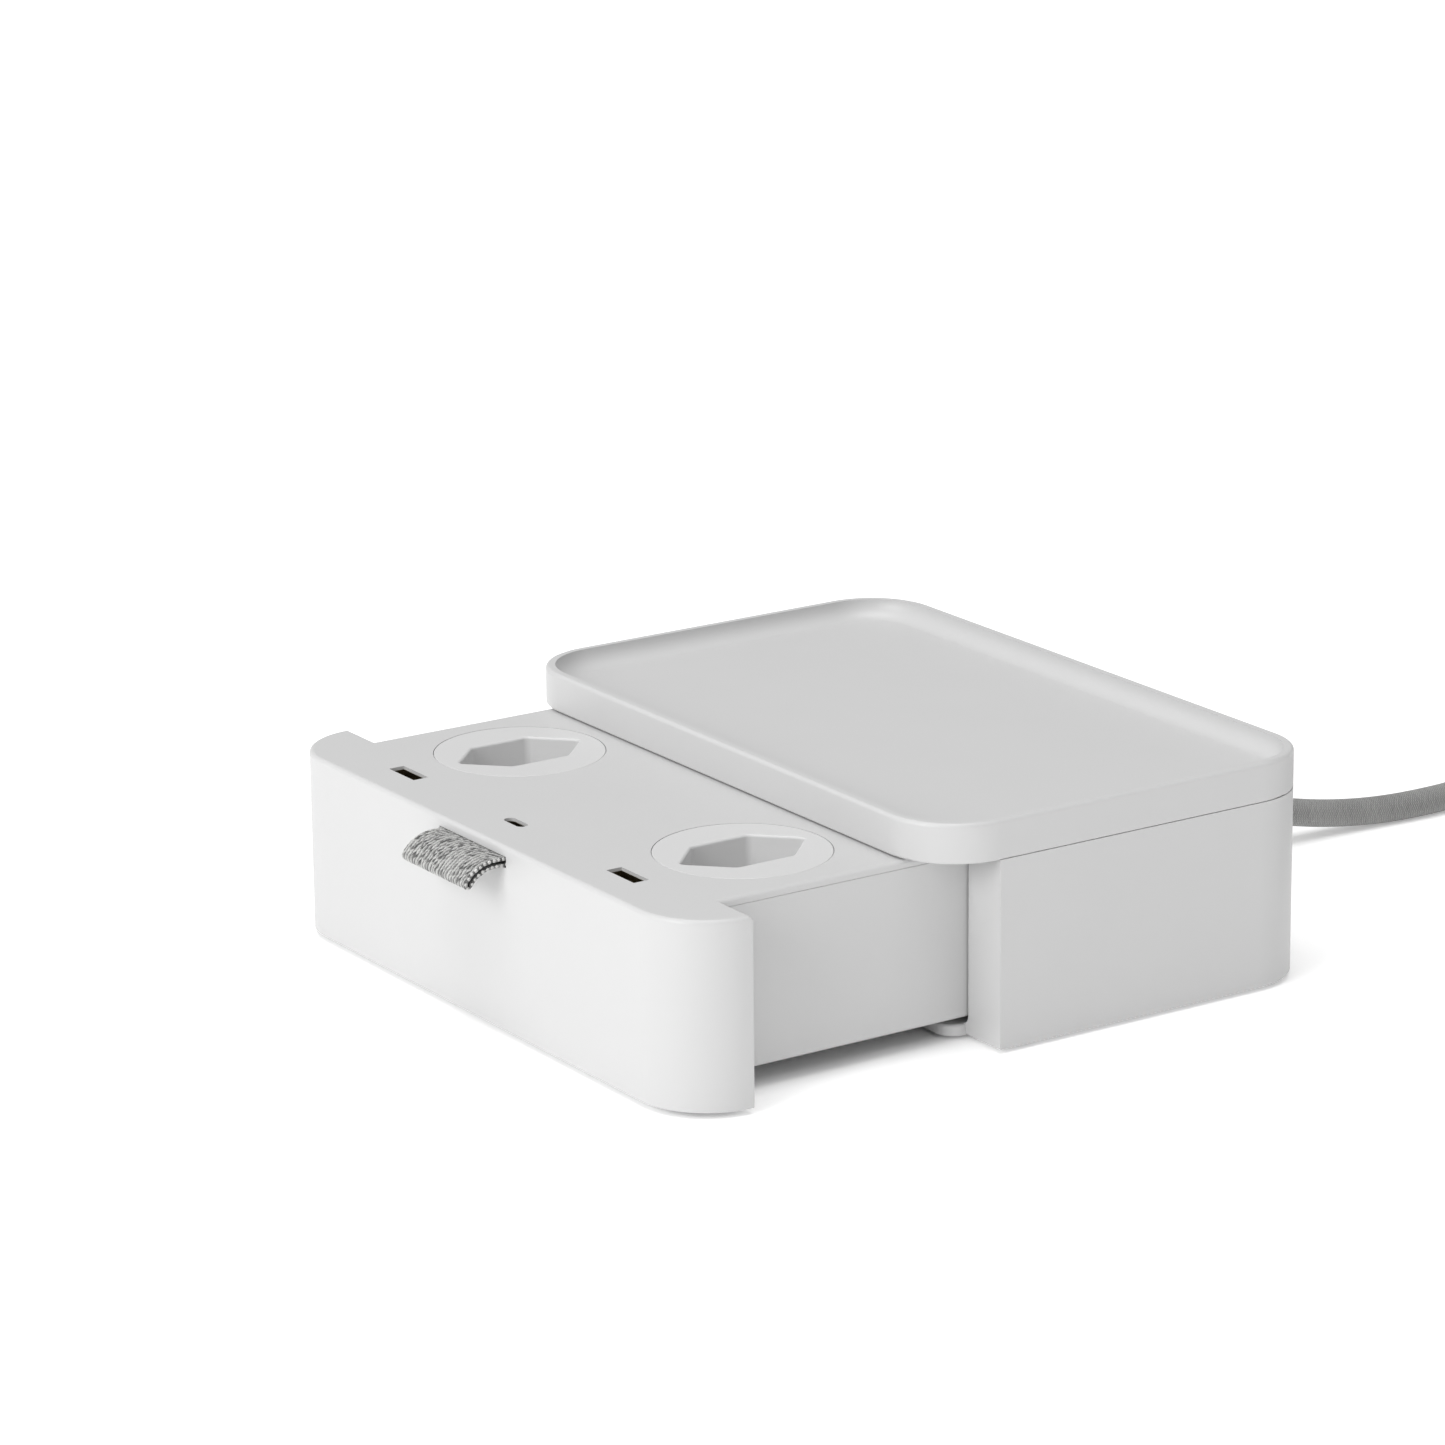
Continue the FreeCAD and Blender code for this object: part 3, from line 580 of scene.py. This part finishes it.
def woven_tab():
    """Ribbed webbing: every rib runs from root to tip and is a chain of slanted stitches."""
    profile = tab_profile(0.12)
    spots = np.array([p for p, _ in profile])
    normals = np.array([n for _, n in profile])
    run = np.concatenate([[0.0], np.cumsum(np.linalg.norm(np.diff(spots, axis=0), axis=1))])
    rows, columns, half = len(run), 274, tab_width / 2 - 0.35
    x = np.linspace(-half, half, columns)
    relief, tone, thread = weave(run, x)
    lift = relief * 0.30 - 0.16
    above, below = layer_t / 2 + lift, layer_t / 2 - 0.05 + lift * 0.2
    outer = spots[:, None, :] + normals[:, None, :] * above[:, :, None]
    inner = spots[:, None, :] - normals[:, None, :] * below[:, :, None]

    def place(grid):
        full = np.empty((rows, columns, 3))
        full[:, :, 0] = x[None, :]
        full[:, :, 1:] = grid
        return full.reshape(-1, 3)

    points = [at(*p) for p in np.concatenate([place(outer), place(inner)])]
    # painted shade: the inner faces of the fold, between the two layers, are painted at 0.45 of the outer
    # tone
    shade = np.concatenate([tone.ravel(), (tone * 0.45).ravel()])
    tab = make_piece("woven_tab", points, sheet_faces(rows, columns), "webbing",
                     {"shade": shade, "thread": np.concatenate([thread.ravel(), thread.ravel()])})
    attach(tab, "drawer")
    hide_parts("pull_tab")
    return profile, run


def selvedge(profile, run):
    """Both side edges of the webbing: weft loops as pale round bumps, with dark loops between them as painted
    shade in the gaps, and each loop painted darker towards its ends as shade.
    """
    points, faces, shade = [], [], []
    rng = random.Random(5)
    pitch, around, rings = 0.72, 10, 7
    flatness, stretch, inset = 0.75, 1.2, 0.42
    for side in (-1, 1):
        for k in range(int(run[-1] / pitch)):
            s = (k + 0.5 + 0.25 * side) * pitch
            i = min(int(np.searchsorted(run, s)), len(profile) - 1)
            (y, z), (ny, nz) = profile[i]
            ty, tz = nz, -ny
            pale = k % 2 == 0
            # the pale loops carry the yarn's tone; the dark loops paint the shade in the gaps between them
            tone = rng.uniform(0.80, 1.0) if pale else rng.uniform(0.10, 0.45)
            size = rng.uniform(0.9, 1.08) * (0.46 if pale else 0.40)
            high = rng.uniform(-0.08, 0.16)
            base = len(points)
            for r in range(rings):
                a = math.pi * (r + 0.5) / rings
                out, width = -math.cos(a) * size * flatness, math.sin(a) * size
                for q in range(around):
                    b = math.tau * q / around
                    along, lift = math.cos(b) * width * stretch, math.sin(b) * width + high
                    points.append(at(side * (tab_width / 2 - inset + out), y + ty * along + ny * lift,
                                     z + tz * along + nz * lift))
                    # painted shade: each loop's rings darken towards its ends
                    shade.append(tone * (0.6 + 0.4 * math.sin(a)))
            for r in range(rings - 1):
                low, up = base + r * around, base + (r + 1) * around
                ring = []
                for q in range(around):
                    ahead = (q + 1) % around
                    ring.append((low + q, low + ahead, up + ahead, up + q))
                faces += ring if side > 0 else [tuple(reversed(f)) for f in ring]
            ends = (tuple(reversed(range(base, base + around))),
                    tuple(range(base + (rings - 1) * around, base + rings * around)))
            faces += ends if side > 0 else [tuple(reversed(f)) for f in ends]
    loops = make_piece("tab_selvedge", points, faces, "webbing",
                       {"shade": shade, "thread": [0.0] * len(points)})
    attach(loops, "drawer")


selvedge(*woven_tab())


# ---------------------------------------------------------------- floor, light and camera
def studio_floor():
    """White sweep.  Its own light, outside the object's outline, keeps it white up to a tight shadow."""
    size = 6.0
    corners = [(-size, -size, 0), (size, -size, 0), (size, size, 0), (-size, size, 0)]
    mesh = bpy.data.meshes.new("floor")
    mesh.from_pydata(corners, [], [(0, 1, 2, 3)])
    floor = bpy.data.objects.new("floor", mesh)
    bpy.context.scene.collection.objects.link(floor)
    material, tree, shader = new_material("floor_paper")
    shader.inputs["Base Color"].default_value = (0.95, 0.95, 0.95, 1)
    shader.inputs["Roughness"].default_value = 0.9
    shader.inputs["Specular IOR Level"].default_value = 0.1
    shader.inputs["Emission Color"].default_value = (1, 1, 1, 1)
    low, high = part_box("drawer_cover")[0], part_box("organiser_tray")[1]
    middle, half = (low + high) / 2, (high - low) / 2
    offset = object_coords(tree)
    for operation, operand in (("SUBTRACT", middle), ("ABSOLUTE", None), ("SUBTRACT", half)):
        inputs = {0: offset}
        if operand is not None:
            inputs[1] = (operand.x, operand.y, 0)
        offset = add(tree, "ShaderNodeVectorMath", inputs, operation=operation).outputs[0]
    parts = add(tree, "ShaderNodeSeparateXYZ", {0: offset})
    outside = calculate(tree, "MAXIMUM", parts.outputs["X"], parts.outputs["Y"])
    near = map_range(tree, outside, -0.022, -0.010, 0.0, 0.25)
    far = map_range(tree, outside, 0.1, 0.4, 0.0, 0.32)
    tree.links.new(calculate(tree, "ADD", near, far), shader.inputs["Emission Strength"])
    mesh.materials.append(material)


def area_light(name, location, target, size, power):
    light = bpy.data.lights.new(name, "AREA")
    light.shape = "DISK"
    light.size = size
    light.energy = power
    lamp = bpy.data.objects.new(name, light)
    bpy.context.scene.collection.objects.link(lamp)
    lamp.location = location
    lamp.rotation_euler = (Vector(target) - Vector(location)).to_track_quat("-Z", "Y").to_euler()


def studio_light():
    world = bpy.data.worlds.new("studio")
    world.use_nodes = True
    background = world.node_tree.nodes["Background"]
    background.inputs["Color"].default_value = (1, 1, 1, 1)
    background.inputs["Strength"].default_value = 0.50
    bpy.context.scene.world = world
    area_light("front_softbox", (0.42, -2.2, 1.05), (0, 0, 0.02), 1.5, 31.0)
    area_light("overhead_softbox", (0.0, -0.2, 2.2), (0, 0, 0), 1.8, 25.0)
    view = bpy.context.scene.view_settings
    view.view_transform = "Standard"
    view.look = "None"


def studio_camera():
    """The camera that the proportions were solved for: a long lens, low and to the right of the drawer."""
    azimuth, elevation, roll = (math.radians(a) for a in (56.561, 16.416, -0.604))
    distance, aside, above = 1.558322, -0.056874, 0.025477
    forward = Vector((-math.sin(azimuth) * math.cos(elevation), math.cos(azimuth) * math.cos(elevation),
                      -math.sin(elevation)))
    level = Vector((math.cos(azimuth), math.sin(azimuth), 0))
    raised = level.cross(forward)
    right = level * math.cos(roll) + raised * math.sin(roll)
    up = right.cross(forward)
    data = bpy.data.cameras.new("camera")
    data.lens = 141.588
    data.sensor_width = 36.0
    camera = bpy.data.objects.new("camera", data)
    bpy.context.scene.collection.objects.link(camera)
    place = at(0, 70, 30) - forward * distance + right * aside + up * above
    turn = Matrix((right, up, -forward)).transposed()
    camera.matrix_world = Matrix.Translation(place) @ turn.to_4x4()
    bpy.context.scene.camera = camera


studio_floor()
studio_light()
studio_camera()
